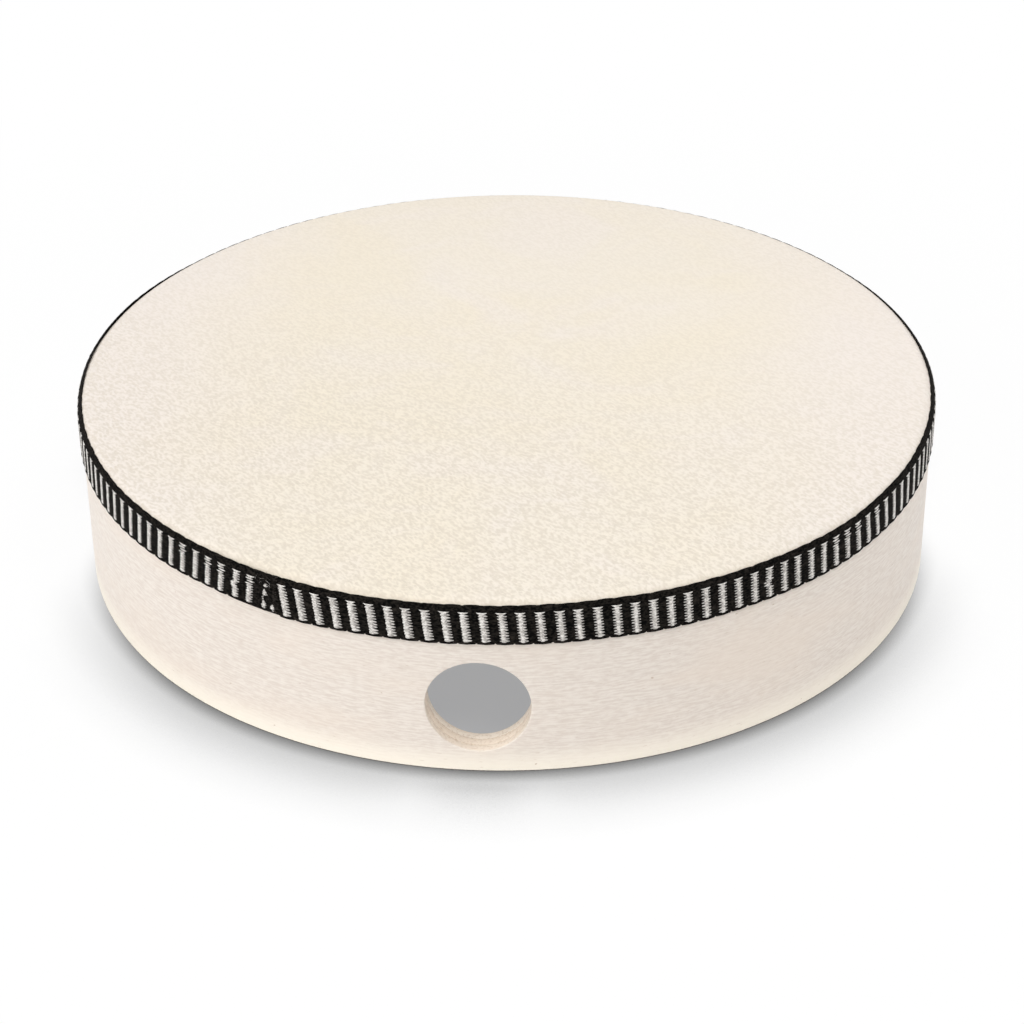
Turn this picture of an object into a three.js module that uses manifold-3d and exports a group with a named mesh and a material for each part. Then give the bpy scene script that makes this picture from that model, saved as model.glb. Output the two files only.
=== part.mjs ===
// A hand drum of the 8 inch class. A bent three-ply shell with a thumb hole carries a rawhide head, which is
// bent over the shell's upper edge, glued and stapled. A woven trim tape is glued over the staples and over the
// cut edge of the skin, and its two ends lap.
// Millimetres, +Z up. The origin is the centre of the lower rim, and the thumb hole faces -Y.

import * as THREE from "three";
import { mergeVertices } from "three/addons/utils/BufferGeometryUtils.js";
import Module from "manifold-3d";

const wasm = await Module();
wasm.setup();

// Shell
const shellDiameter = 200;
const shellHeight = 42.5;
const plyThickness = 2.1;
const plyNames = ["outer_ply", "core_ply", "inner_ply"];
const bearingRound = 2.2; // outer upper edge, which the skin bends over
const rimRound = 0.8; // the other three edges, broken with sandpaper
const seamGap = 0.3; // glued butt joint that closes each bent ply
const thumbHoleDiameter = 22.5;

// Glue between the plies, under the skin and under the tape
const glueLine = 0.05;

// Head
const skinThickness = 0.3;

// Trim tape
const tapeWidth = 9.2;
const tapeThickness = 0.4;
const tapeTopAngle = 37; // degrees that the tape's upper edge climbs round the bearing edge
const tapeCover = 1; // from the tape's lower edge up to the cut edge of the skin
const tapeStart = -32; // degrees round from the thumb hole, to where the covered end lies
const tapeLap = 12; // length of the lap
const tapeRamp = 9; // length in which the tape climbs onto its own first end

// Staples
const stapleCount = 16;
const stapleCrown = 10;
const stapleLeg = 4.5;
const stapleWire = 0.6; // thickness of the flattened wire
const stapleWireWidth = 0.9;
const stapleSink = 0.1; // depth of the crown's corners under the face of the skin
const stapleClearance = 0.12;

// Faceting
const segments = 96;
const holeSegments = 48;
const bearingSteps = 4;
const rimSteps = 2;

// Places that several pieces share
const degree = Math.PI / 180;
const shellRadius = shellDiameter / 2;
const wall = plyNames.length * plyThickness + (plyNames.length - 1) * glueLine;
const innerRadius = shellRadius - wall;
const bearingCentre = new THREE.Vector2(shellRadius - bearingRound, shellHeight - bearingRound);
const skinInside = glueLine;
const skinOutside = skinInside + skinThickness;
const tapeInside = skinOutside + glueLine;
const tapeArc = tapeTopAngle * degree * (bearingRound + tapeInside + tapeThickness / 2);
const tapeBottom = bearingCentre.y - (tapeWidth - tapeArc);
const skinBottom = tapeBottom + tapeCover;
const thumbHoleHeight = tapeBottom / 2; // middle of the bare wood
const staplePitch = 360 / stapleCount;
const stapleHeight = (skinBottom + bearingCentre.y) / 2;
const overcut = plyThickness / 2; // what a cutting tool reaches past what it cuts

// Solids

function solidOf(geometry) {
  const bare = new THREE.BufferGeometry();
  bare.setAttribute("position", geometry.getAttribute("position"));
  bare.setIndex(geometry.getIndex());
  const merged = mergeVertices(bare);
  return new wasm.Manifold(
    new wasm.Mesh({
      numProp: 3,
      vertProperties: merged.getAttribute("position").array,
      triVerts: new Uint32Array(merged.getIndex().array),
    }),
  );
}

function geometryOf(solid) {
  const { vertProperties, triVerts } = solid.getMesh();
  const geometry = new THREE.BufferGeometry();
  geometry.setAttribute("position", new THREE.BufferAttribute(vertProperties, 3));
  geometry.setIndex(new THREE.BufferAttribute(triVerts, 1));
  geometry.computeVertexNormals();
  return geometry;
}

// A body of revolution about Z from a profile of (radius, height) points.
function turned(profile) {
  return solidOf(new THREE.LatheGeometry(profile, segments).rotateX(Math.PI / 2));
}

// Points on a quarter round or less, from one angle to another, in degrees above the outward direction.
function arc(centre, radius, from, to, steps) {
  return Array.from({ length: steps + 1 }, (_, i) => {
    const angle = THREE.MathUtils.lerp(from, to, i / steps) * degree;
    return new THREE.Vector2(centre.x + radius * Math.cos(angle), centre.y + radius * Math.sin(angle));
  });
}

// Direction in plan at an angle round from the thumb hole, counted towards +X.
function outward(angle) {
  return new THREE.Vector2(Math.sin(angle * degree), -Math.cos(angle * degree));
}

// Staples: one flattened wire, bent into a U with chisel points. The crown runs round the drum and the legs point in.

// The corners of the crown lie under the face of the skin, so the straight crown's middle lies a little deeper.
const crownCorner = shellRadius + skinOutside - stapleSink;
const crownFace = Math.sqrt(crownCorner ** 2 - (stapleCrown / 2) ** 2);

function stapleGeometry(clearance) {
  const outside = stapleCrown / 2 + clearance;
  const inside = stapleCrown / 2 - stapleWire - clearance;
  const crownTop = clearance;
  const crownUnder = -stapleWire - clearance;
  const heel = -stapleLeg - clearance;
  const point = heel - stapleWire;
  const outline = new THREE.Shape([
    new THREE.Vector2(-outside, crownTop),
    new THREE.Vector2(-outside, heel),
    new THREE.Vector2(-inside, point),
    new THREE.Vector2(-inside, crownUnder),
    new THREE.Vector2(inside, crownUnder),
    new THREE.Vector2(inside, point),
    new THREE.Vector2(outside, heel),
    new THREE.Vector2(outside, crownTop),
  ]);
  const depth = stapleWireWidth + 2 * clearance;
  return new THREE.ExtrudeGeometry(outline, { depth, bevelEnabled: false }).translate(0, 0, -depth / 2);
}

function placeStaple(mesh, angle) {
  const way = outward(angle);
  mesh.position.set(crownFace * way.x, crownFace * way.y, stapleHeight);
  mesh.rotation.z = angle * degree + Math.PI;
  mesh.updateMatrix();
  return mesh;
}

const stapleAngles = Array.from({ length: stapleCount }, (_, i) => (i + 0.5) * staplePitch);

// The room that the driven staples take in the skin and in the plies.
const stapleRoom = stapleAngles
  .map((angle) => placeStaple(new THREE.Mesh(), angle).matrix)
  .map((matrix) => solidOf(stapleGeometry(stapleClearance).applyMatrix4(matrix)))
  .reduce((all, one) => all.add(one));

// Shell: the whole wall is turned once, and each ply is the band of it between two radii.

const shellBody = turned([
  new THREE.Vector2(innerRadius, shellHeight / 2),
  ...arc(new THREE.Vector2(innerRadius + rimRound, rimRound), rimRound, 180, 270, rimSteps),
  ...arc(new THREE.Vector2(shellRadius - rimRound, rimRound), rimRound, -90, 0, rimSteps),
  ...arc(bearingCentre, bearingRound, 0, 90, bearingSteps),
  ...arc(new THREE.Vector2(innerRadius + rimRound, shellHeight - rimRound), rimRound, 90, 180, rimSteps),
  new THREE.Vector2(innerRadius, shellHeight / 2),
]);

const thumbHole = solidOf(
  new THREE.CylinderGeometry(thumbHoleDiameter / 2, thumbHoleDiameter / 2, 3 * wall, holeSegments)
    .translate(0, outward(0).y * (shellRadius - wall / 2), thumbHoleHeight),
);

function bandOfRadii(inside, outside) {
  return turned([
    new THREE.Vector2(inside, -overcut),
    new THREE.Vector2(outside, -overcut),
    new THREE.Vector2(outside, shellHeight + overcut),
    new THREE.Vector2(inside, shellHeight + overcut),
    new THREE.Vector2(inside, -overcut),
  ]);
}

function seamSlot(radius, angle) {
  const way = outward(angle);
  return solidOf(
    new THREE.BoxGeometry(seamGap, plyThickness + 2 * overcut, shellHeight + 2 * overcut)
      .rotateZ(angle * degree)
      .translate(radius * way.x, radius * way.y, shellHeight / 2),
  );
}

// Plies are counted from the outside. Their seams lie at the back, staggered, each midway between two staples.
function plySolid(index) {
  const outside = shellRadius - index * (plyThickness + glueLine);
  const inside = outside - plyThickness;
  const band = bandOfRadii(
    index === plyNames.length - 1 ? inside - overcut : inside,
    index === 0 ? outside + overcut : outside,
  );
  const seamAngle = 180 + index * staplePitch;
  return shellBody
    .intersect(band)
    .subtract(seamSlot((inside + outside) / 2, seamAngle))
    .subtract(thumbHole)
    .subtract(stapleRoom);
}

// Head: a disc of rawhide, bent over the bearing edge and down the side of the shell.

const headSolid = turned([
  new THREE.Vector2(0, shellHeight + skinInside),
  ...arc(bearingCentre, bearingRound + skinInside, 90, 0, bearingSteps),
  new THREE.Vector2(shellRadius + skinInside, skinBottom),
  new THREE.Vector2(shellRadius + skinOutside, skinBottom),
  ...arc(bearingCentre, bearingRound + skinOutside, 0, 90, bearingSteps),
  new THREE.Vector2(0, shellHeight + skinOutside),
]).subtract(stapleRoom);

// Trim tape: a strip that follows the skin's face, once round and on over its own first end.

// Section of the tape at a height above its bed, as (radius, height) points.
function tapeSection(lift) {
  const inside = tapeInside + lift;
  const outside = inside + tapeThickness;
  return [
    new THREE.Vector2(shellRadius + inside, tapeBottom),
    new THREE.Vector2(shellRadius + outside, tapeBottom),
    ...arc(bearingCentre, bearingRound + outside, 0, tapeTopAngle, bearingSteps),
    ...arc(bearingCentre, bearingRound + inside, tapeTopAngle, 0, bearingSteps),
  ];
}

function tapeGeometry() {
  const arcToAngle = 1 / ((shellRadius + tapeInside) * degree);
  const rampEnd = tapeStart + 360;
  const rampStart = rampEnd - tapeRamp * arcToAngle;
  const end = rampEnd + tapeLap * arcToAngle;
  const facet = 360 / segments;
  const angles = [tapeStart, rampStart, rampEnd, end];
  for (let k = Math.ceil(tapeStart / facet); k * facet < end; k++) angles.push(k * facet);
  const stations = [...new Set(angles)].sort((a, b) => a - b);

  const fullLift = tapeThickness + glueLine;
  const rings = stations.map((angle) => {
    const way = outward(angle);
    const lift = THREE.MathUtils.clamp((angle - rampStart) / (rampEnd - rampStart), 0, 1) * fullLift;
    return tapeSection(lift).map((p) => new THREE.Vector3(p.x * way.x, p.x * way.y, p.y));
  });

  const count = rings[0].length;
  const last = (rings.length - 1) * count;
  const faces = [];
  for (let i = 0; i + 1 < rings.length; i++) {
    for (let j = 0; j < count; j++) {
      const a = i * count + j;
      const b = i * count + ((j + 1) % count);
      faces.push(a, a + count, b, b, a + count, b + count);
    }
  }
  for (const [a, b, c] of THREE.ShapeUtils.triangulateShape(tapeSection(0), [])) {
    faces.push(a, b, c, last + c, last + b, last + a);
  }
  return new THREE.BufferGeometry().setFromPoints(rings.flat()).setIndex(faces);
}

// Materials
const faceVeneer = new THREE.MeshStandardMaterial({ color: 0xeaddcc, roughness: 0.75, metalness: 0 });
const coreVeneer = new THREE.MeshStandardMaterial({ color: 0xe2d2bb, roughness: 0.8, metalness: 0 });
const rawhide = new THREE.MeshStandardMaterial({ color: 0xf3ead8, roughness: 0.7, metalness: 0 });
const wovenTape = new THREE.MeshStandardMaterial({ color: 0x16140f, roughness: 0.85, metalness: 0 });
const steelWire = new THREE.MeshStandardMaterial({ color: 0xb8babc, roughness: 0.35, metalness: 1 });

function piece(name, geometry, material) {
  const mesh = new THREE.Mesh(geometry, material);
  mesh.name = name;
  return mesh;
}

const shell = new THREE.Group();
plyNames.forEach((name, index) => {
  const material = index === 0 ? faceVeneer : coreVeneer;
  shell.add(piece(name, geometryOf(plySolid(index)), material));
});

const staples = new THREE.Group();
stapleAngles.forEach((angle, index) => {
  const name = `staple_${String(index + 1).padStart(2, "0")}`;
  staples.add(placeStaple(piece(name, stapleGeometry(0), steelWire), angle));
});

const drum = new THREE.Group();
drum.name = "hand_drum";
drum.add(
  shell,
  piece("drum_head", geometryOf(headSolid), rawhide),
  piece("trim_tape", tapeGeometry(), wovenTape),
  staples,
);

export default drum;
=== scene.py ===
import math

import bmesh
import bpy
import numpy as np
from mathutils import Matrix, Vector


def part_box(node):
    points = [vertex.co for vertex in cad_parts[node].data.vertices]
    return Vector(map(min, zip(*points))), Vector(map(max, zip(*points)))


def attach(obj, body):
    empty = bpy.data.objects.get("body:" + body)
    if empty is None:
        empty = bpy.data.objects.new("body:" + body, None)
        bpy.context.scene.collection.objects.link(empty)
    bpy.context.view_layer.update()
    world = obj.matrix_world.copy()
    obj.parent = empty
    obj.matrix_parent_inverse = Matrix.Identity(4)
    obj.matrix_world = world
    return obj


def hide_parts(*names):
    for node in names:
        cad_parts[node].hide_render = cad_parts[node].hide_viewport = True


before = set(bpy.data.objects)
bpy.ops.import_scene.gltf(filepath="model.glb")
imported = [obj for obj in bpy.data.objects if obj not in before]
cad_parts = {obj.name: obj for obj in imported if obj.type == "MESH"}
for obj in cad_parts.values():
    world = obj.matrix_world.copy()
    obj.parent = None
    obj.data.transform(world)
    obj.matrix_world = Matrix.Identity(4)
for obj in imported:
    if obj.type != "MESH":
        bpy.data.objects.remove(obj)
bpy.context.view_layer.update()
mm = 0.001
chance = np.random.default_rng(8)
print("frame loaded:", len(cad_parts), "CAD nodes")

eye = {
    "place": (0.037605, -0.560258, 0.345367),
    "aim": (0.002792, -0.026749, 0.020),
    "roll": -0.539,
    "lens": 94.89,
}
camera = bpy.data.objects.new("Camera", bpy.data.cameras.new("Camera"))
camera.data.sensor_width = 36.0
camera.data.lens = eye["lens"]
camera.data.clip_start = 0.01
camera.data.clip_end = 50.0
sight = Vector(eye["aim"]) - Vector(eye["place"])
upright = sight.to_track_quat("-Z", "Y").to_matrix()
turned = upright @ Matrix.Rotation(math.radians(eye["roll"]), 3, "Z")
camera.matrix_world = Matrix.Translation(eye["place"]) @ turned.to_4x4()
bpy.context.scene.collection.objects.link(camera)
bpy.context.scene.camera = camera
bpy.context.scene.view_settings.view_transform = "Standard"
print("camera set")


def tone(red, green, blue):  # a colour as it looks on screen, made linear
    parts = [part / 255.0 for part in (red, green, blue)]
    return [part / 12.92 if part < 0.04045 else ((part + 0.055) / 1.055) ** 2.4 for part in parts] + [1.0]


def feed(tree, socket, value):
    if isinstance(value, bpy.types.NodeSocket):
        tree.links.new(value, socket)
    else:
        socket.default_value = value


def addNode(tree, kind, values=None, **settings):
    node = tree.nodes.new(kind)
    for key, value in settings.items():
        setattr(node, key, value)
    for key, value in (values or {}).items():
        feed(tree, node.inputs[key], value)
    return node


def calc(tree, operation, first, second=0.0, third=0.0):
    node = addNode(tree, "ShaderNodeMath", {0: first, 1: second, 2: third}, operation=operation)
    return node.outputs[0]


def noise(tree, vector, scale, detail=3.0, roughness=0.5, distortion=0.0):
    values = {"Vector": vector, "Scale": scale, "Detail": detail, "Roughness": roughness}
    node = addNode(tree, "ShaderNodeTexNoise", values)
    node.inputs["Distortion"].default_value = distortion
    return node.outputs["Fac"]


def remap(tree, value, low, high, toLow=0.0, toHigh=1.0, kind="SMOOTHSTEP"):
    values = {"Value": value, "From Min": low, "From Max": high, "To Min": toLow, "To Max": toHigh}
    return addNode(tree, "ShaderNodeMapRange", values, interpolation_type=kind).outputs["Result"]


def blendColor(tree, share, first, second):
    node = addNode(tree, "ShaderNodeMix", data_type="RGBA")
    feed(tree, node.inputs[0], share)
    feed(tree, node.inputs[6], first)
    feed(tree, node.inputs[7], second)
    return node.outputs[2]


def stretch(tree, vector, by):
    node = addNode(tree, "ShaderNodeVectorMath", {0: vector, 1: by}, operation="MULTIPLY")
    return node.outputs["Vector"]


def dot(tree, vector, direction):
    node = addNode(tree, "ShaderNodeVectorMath", {0: vector, 1: direction}, operation="DOT_PRODUCT")
    return node.outputs["Value"]


def newGroup(name, inputs, outputs):
    group = bpy.data.node_groups.new(name, "ShaderNodeTree")
    for socketName, kind in inputs.items():
        group.interface.new_socket(socketName, in_out="INPUT", socket_type=kind)
    for socketName, kind in outputs.items():
        group.interface.new_socket(socketName, in_out="OUTPUT", socket_type=kind)
    entry = group.nodes.new("NodeGroupInput")
    leave = group.nodes.new("NodeGroupOutput")
    return group, entry.outputs, leave.inputs


layRadius = 0.1  # metres, where distances round the drum are measured


def roundDrum(tree, seam):  # distance round the drum from the seam, height and radius
    place = addNode(tree, "ShaderNodeTexCoord").outputs["Object"]
    turned = addNode(tree, "ShaderNodeVectorRotate", {"Vector": place, "Angle": seam}, rotation_type="Z_AXIS")
    parts = addNode(tree, "ShaderNodeSeparateXYZ", {0: turned.outputs[0]}).outputs
    turn = calc(tree, "ARCTAN2", parts[0], calc(tree, "MULTIPLY", parts[1], -1.0))
    squares = calc(tree, "MULTIPLY_ADD", parts[0], parts[0], calc(tree, "MULTIPLY", parts[1], parts[1]))
    radius = calc(tree, "SQRT", squares)
    around = calc(tree, "MULTIPLY", turn, layRadius)
    lay = addNode(tree, "ShaderNodeCombineXYZ", {0: around, 1: parts[2], 2: radius}).outputs[0]
    return lay, parts[2], radius


floatKind = "NodeSocketFloat"
colorKind = "NodeSocketColor"
surfaceOutputs = {"Color": colorKind, "Roughness": floatKind, "Height": floatKind}


veneerLook = {  # noise per metre: round the drum, up, out
    "grain": (540.0, 1750.0, 1750.0),
    "fibre": (230.0, 2300.0, 2300.0),
    "cloud": (24.0, 70.0, 70.0),
    "pore": (520.0, 3600.0, 3600.0),
    "speck": (520.0, 900.0, 900.0),
    "endGrain": (1500.0, 1700.0, 1700.0),
    "cloudShare": 0.6,  # the most that each tint covers the ground
    # the foot band is painted light: paler and warmer toward the floor
    "footLightShare": 0.95,
    "cutShare": 0.85,
    "stubShare": 0.42,
    "poreShare": 0.35,
    "speckShare": 0.6,
    "glueShare": 0.52,
    "glueLeast": 0.35,
    "footLightBand": 7.5 * mm,
    "cutFrom": 99.55 * mm,  # radius where a cut edge is deep enough to show end grain
    "cutTo": 99.80 * mm,
    "insideFrom": 93.65 * mm,  # radius where the shell's inside face ends
    "insideTo": 93.90 * mm,
    "glueFrom": 0.04 * mm,
    "glueTo": 0.20 * mm,
    "smooth": 0.58,
    "rough": 0.72,
    "poreDepth": 0.4,
    "bump": 0.04 * mm,
}


def makeWoodGroup():  # the first two numbers of a remap are where its noise starts and stops to count
    look = veneerLook
    inputs = {name: floatKind for name in ("Seam", "Inner Glue", "Outer Glue")}
    inputs.update({name: colorKind for name in ("Pale", "Fibre", "Warm", "FootLight", "Cut", "Pore", "Glue")})
    group, entry, leave = newGroup("WoodVeneer", inputs, surfaceOutputs)
    lay, height, radius = roundDrum(group, entry["Seam"])
    grain = noise(group, stretch(group, lay, look["grain"]), 1.0, 2.0, 0.55, 0.2)
    fibre = noise(group, stretch(group, lay, look["fibre"]), 1.0, 1.0, 0.5)
    cloud = noise(group, stretch(group, lay, look["cloud"]), 1.0, 3.0, 0.5, 0.5)
    pores = remap(group, noise(group, stretch(group, lay, look["pore"]), 1.0, 1.0), 0.68, 0.78)
    specks = remap(group, noise(group, stretch(group, lay, look["speck"]), 1.0, 1.0), 0.77, 0.82)
    endGrain = noise(group, stretch(group, lay, look["endGrain"]), 1.0, 2.0)
    share = calc(group, "MULTIPLY_ADD", grain, 0.5, calc(group, "MULTIPLY", fibre, 0.5))
    ground = blendColor(group, remap(group, share, 0.36, 0.64), entry["Pale"], entry["Fibre"])
    warmth = remap(group, cloud, 0.42, 0.74, 0.0, look["cloudShare"])
    ground = blendColor(group, warmth, ground, entry["Warm"])
    # painted light: the wood turns paler and warmer toward the foot, as if lit from the floor
    footLightBand = remap(group, height, 0.0, look["footLightBand"], look["footLightShare"], 0.0)
    ground = blendColor(group, footLightBand, ground, entry["FootLight"])
    cut = remap(group, radius, look["cutFrom"], look["cutTo"], look["cutShare"], 0.0)
    offInside = remap(group, radius, look["insideFrom"], look["insideTo"])
    cut = calc(group, "MULTIPLY", cut, offInside)
    ground = blendColor(group, cut, ground, entry["Cut"])
    stubs = calc(group, "MULTIPLY", cut, remap(group, endGrain, 0.48, 0.72, 0.0, look["stubShare"]))
    ground = blendColor(group, stubs, ground, entry["Pore"])
    ground = blendColor(group, calc(group, "MULTIPLY", pores, look["poreShare"]), ground, entry["Pore"])
    ground = blendColor(group, calc(group, "MULTIPLY", specks, look["speckShare"]), ground, entry["Pore"])
    innerStep = calc(group, "ABSOLUTE", calc(group, "SUBTRACT", radius, entry["Inner Glue"]))
    outerStep = calc(group, "ABSOLUTE", calc(group, "SUBTRACT", radius, entry["Outer Glue"]))
    nearGlue = calc(group, "MINIMUM", innerStep, outerStep)
    stain = remap(group, nearGlue, look["glueFrom"], look["glueTo"], look["glueShare"], 0.0)
    broken = calc(group, "MULTIPLY", stain, remap(group, grain, 0.30, 0.62, look["glueLeast"], 1.0))
    feed(group, leave["Color"], blendColor(group, broken, ground, entry["Glue"]))
    feed(group, leave["Roughness"], remap(group, fibre, 0.3, 0.7, look["smooth"], look["rough"]))
    sunk = calc(group, "MULTIPLY", pores, look["poreDepth"])
    feed(group, leave["Height"], calc(group, "SUBTRACT", share, sunk))
    return group


hideLook = {
    "cloud": 17.0,  # noise per metre
    "blush": 32.0,
    "pebble": 1500.0,
    "sideFrom": 56 * mm,
    "sideTo": 105 * mm,
    "sideWander": 30 * mm,
    "sideShare": 0.8,
    "blushShare": 0.45,
    "ridgeTurn": 128.0,  # degrees from +X, the way the fine ridges run
    "along": 780.0,  # ridges per metre
    "across": 1500.0,
    "wander": 1.3,
    "wanderScale": 300.0,
    "ridgeShare": 0.72,
    "hollowShadeShare": 0.56,
    "grainFadeFrom": -62 * mm,  # the painted shade in the grain's hollows, and the grain's bump, are strongest at the front and fade toward the back
    "grainFadeTo": 54 * mm,
    "grainFadeWay": (0.2, 0.95, 0.0),
    "grainFadeLeast": 0.36,
    "edgeFrom": 98.4 * mm,
    "edgeTo": 100.2 * mm,
    "edgeShadeShare": 0.40,
    "smooth": 0.60,
    "rough": 0.74,
    "bump": 0.25 * mm,
    "thinShare": 0.12,  # how much of the light comes through the skin
}


def makeHideGroup():
    look = hideLook
    inputs = {name: colorKind for name in ("Cream", "Pale", "Pink", "Shade", "EdgeShade")}
    group, entry, leave = newGroup("Rawhide", inputs, surfaceOutputs)
    place = addNode(group, "ShaderNodeTexCoord").outputs["Object"]
    cloud = noise(group, place, look["cloud"], 4.0, 0.6, 0.6)
    blush = noise(group, stretch(group, place, (1.0, 1.3, 1.0)), look["blush"], 3.0, 0.55, 0.8)
    parts = addNode(group, "ShaderNodeSeparateXYZ", {0: place}).outputs
    aside = calc(group, "MULTIPLY_ADD", cloud, look["sideWander"], calc(group, "ABSOLUTE", parts[0]))
    turn = math.radians(look["ridgeTurn"])
    along = dot(group, place, [math.cos(turn) * look["along"], math.sin(turn) * look["along"], 0])
    across = dot(group, place, [-math.sin(turn) * look["across"], math.cos(turn) * look["across"], 0])
    wander = calc(group, "SUBTRACT", noise(group, place, look["wanderScale"], 1.0), 0.5)
    across = calc(group, "MULTIPLY_ADD", wander, look["wander"], across)
    down = dot(group, place, (0, 0, look["across"]))
    combed = addNode(group, "ShaderNodeCombineXYZ", {0: along, 1: across, 2: down}).outputs[0]
    ridges = noise(group, combed, 1.0, 1.0, 0.4, 0.25)
    pebble = noise(group, place, look["pebble"], 1.0)
    fine = calc(group, "MULTIPLY", pebble, 1 - look["ridgeShare"])
    grain = calc(group, "MULTIPLY_ADD", ridges, look["ridgeShare"], fine)
    ground = blendColor(group, remap(group, cloud, 0.36, 0.66), entry["Cream"], entry["Pale"])
    side = remap(group, aside, look["sideFrom"], look["sideTo"], 0.0, look["sideShare"])
    pink = calc(group, "MAXIMUM", side, remap(group, blush, 0.46, 0.70, 0.0, look["blushShare"]))
    ground = blendColor(group, pink, ground, entry["Pink"])
    grainFadeSpot = dot(group, place, look["grainFadeWay"])
    grainFade = remap(group, grainFadeSpot, look["grainFadeFrom"], look["grainFadeTo"], 1.0, look["grainFadeLeast"])
    # painted shade: the grain's hollows are coloured darker, as shade would fall in them
    hollowShade = calc(group, "MULTIPLY", remap(group, grain, 0.62, 0.36, 0.0, look["hollowShadeShare"]), grainFade)
    ground = blendColor(group, hollowShade, ground, entry["Shade"])
    level = addNode(group, "ShaderNodeCombineXYZ", {0: parts[0], 1: parts[1]}).outputs[0]
    radius = addNode(group, "ShaderNodeVectorMath", {0: level}, operation="LENGTH").outputs["Value"]
    # painted shade, with some dirt: the skin darkens toward the tape's edge
    edgeShade = remap(group, radius, look["edgeFrom"], look["edgeTo"], 0.0, look["edgeShadeShare"])
    feed(group, leave["Color"], blendColor(group, edgeShade, ground, entry["EdgeShade"]))
    feed(group, leave["Roughness"], remap(group, pebble, 0.3, 0.7, look["smooth"], look["rough"]))
    feed(group, leave["Height"], calc(group, "MULTIPLY", grain, grainFade))
    return group


yarnLook = {
    "filament": (1600.0, 2600.0, 2600.0),  # noise per metre: round the drum, up, out
    "worn": (640.0, 1000.0, 1000.0),
    "wornShare": 0.6,
    "mattSpread": 0.09,
    "bump": 0.04 * mm,
}


def makeYarnGroup():
    look = yarnLook
    inputs = {name: colorKind for name in ("Thread", "Shade", "Fuzz")}
    inputs["Matt"] = floatKind
    group, entry, leave = newGroup("WovenYarn", inputs, surfaceOutputs)
    lay = roundDrum(group, 0.0)[0]
    filament = noise(group, stretch(group, lay, look["filament"]), 1.0, 2.0, 0.6)
    worn = noise(group, stretch(group, lay, look["worn"]), 1.0, 3.0, 0.55)
    ground = blendColor(group, remap(group, filament, 0.42, 0.60), entry["Shade"], entry["Thread"])
    ground = blendColor(group, remap(group, worn, 0.52, 0.76, 0.0, look["wornShare"]), ground, entry["Fuzz"])
    uneven = remap(group, worn, 0.3, 0.7, -look["mattSpread"], look["mattSpread"])
    feed(group, leave["Color"], ground)
    feed(group, leave["Roughness"], calc(group, "ADD", entry["Matt"], uneven))
    feed(group, leave["Height"], filament)
    return group


steelLook = {
    "drawn": (300.0, 6000.0, 6000.0),  # noise per metre: round the drum, up, out
    "smooth": 0.28,
    "rough": 0.46,
    "bump": 0.02 * mm,
}


def makeSteelGroup():
    inputs = {name: colorKind for name in ("Steel", "Dull")}
    group, entry, leave = newGroup("DrawnSteel", inputs, surfaceOutputs)
    lay = roundDrum(group, 0.0)[0]
    drawn = noise(group, stretch(group, lay, steelLook["drawn"]), 1.0, 3.0, 0.6)
    feed(group, leave["Color"], blendColor(group, drawn, entry["Dull"], entry["Steel"]))
    feed(group, leave["Roughness"], remap(group, drawn, 0.3, 0.7, steelLook["smooth"], steelLook["rough"]))
    feed(group, leave["Height"], drawn)
    return group


woodGroup = makeWoodGroup()
hideGroup = makeHideGroup()
yarnGroup = makeYarnGroup()
steelGroup = makeSteelGroup()


def makeMaterial(name, group, values, bumpDepth, surface):
    material = bpy.data.materials.new(name)
    material.use_nodes = True
    tree = material.node_tree
    tree.nodes.clear()
    detail = addNode(tree, "ShaderNodeGroup", node_tree=group)
    for key, value in values.items():
        feed(tree, detail.inputs[key], value)
    bump = addNode(tree, "ShaderNodeBump", {"Height": detail.outputs["Height"], "Distance": bumpDepth})
    shader = addNode(tree, "ShaderNodeBsdfPrincipled", surface)
    feed(tree, shader.inputs["Base Color"], detail.outputs["Color"])
    feed(tree, shader.inputs["Roughness"], detail.outputs["Roughness"])
    feed(tree, shader.inputs["Normal"], bump.outputs["Normal"])
    out = addNode(tree, "ShaderNodeOutputMaterial", {"Surface": shader.outputs[0]})
    return material, tree, shader, out


def addPiece(name, points, faces, material, node, sharpFrom=35.0):
    mesh = bpy.data.meshes.new(name)
    mesh.from_pydata(np.asarray(points).tolist(), [], faces)
    work = bmesh.new()
    work.from_mesh(mesh)
    bmesh.ops.recalc_face_normals(work, faces=work.faces)
    work.to_mesh(mesh)
    work.free()
    mesh.polygons.foreach_set("use_smooth", [True] * len(mesh.polygons))
    mesh.set_sharp_from_angle(angle=math.radians(sharpFrom))
    mesh.materials.append(material)
    piece = bpy.data.objects.new(name, mesh)
    bpy.context.scene.collection.objects.link(piece)
    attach(piece, "root")
    if node:
        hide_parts(node)
    return piece


def around(turn, radius, height):  # degrees from the thumb hole, to the right of it
    angle = np.radians(turn)
    return np.stack(np.broadcast_arrays(radius * np.sin(angle), -radius * np.cos(angle), height), axis=-1)


def gridFaces(rows, columns, closeRows=False, closeColumns=False):
    faces = []
    for row in range(rows if closeRows else rows - 1):
        below = row * columns
        above = (row + 1) % rows * columns
        for column in range(columns if closeColumns else columns - 1):
            beside = (column + 1) % columns
            faces.append((below + column, below + beside, above + beside, above + column))
    return faces


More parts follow.
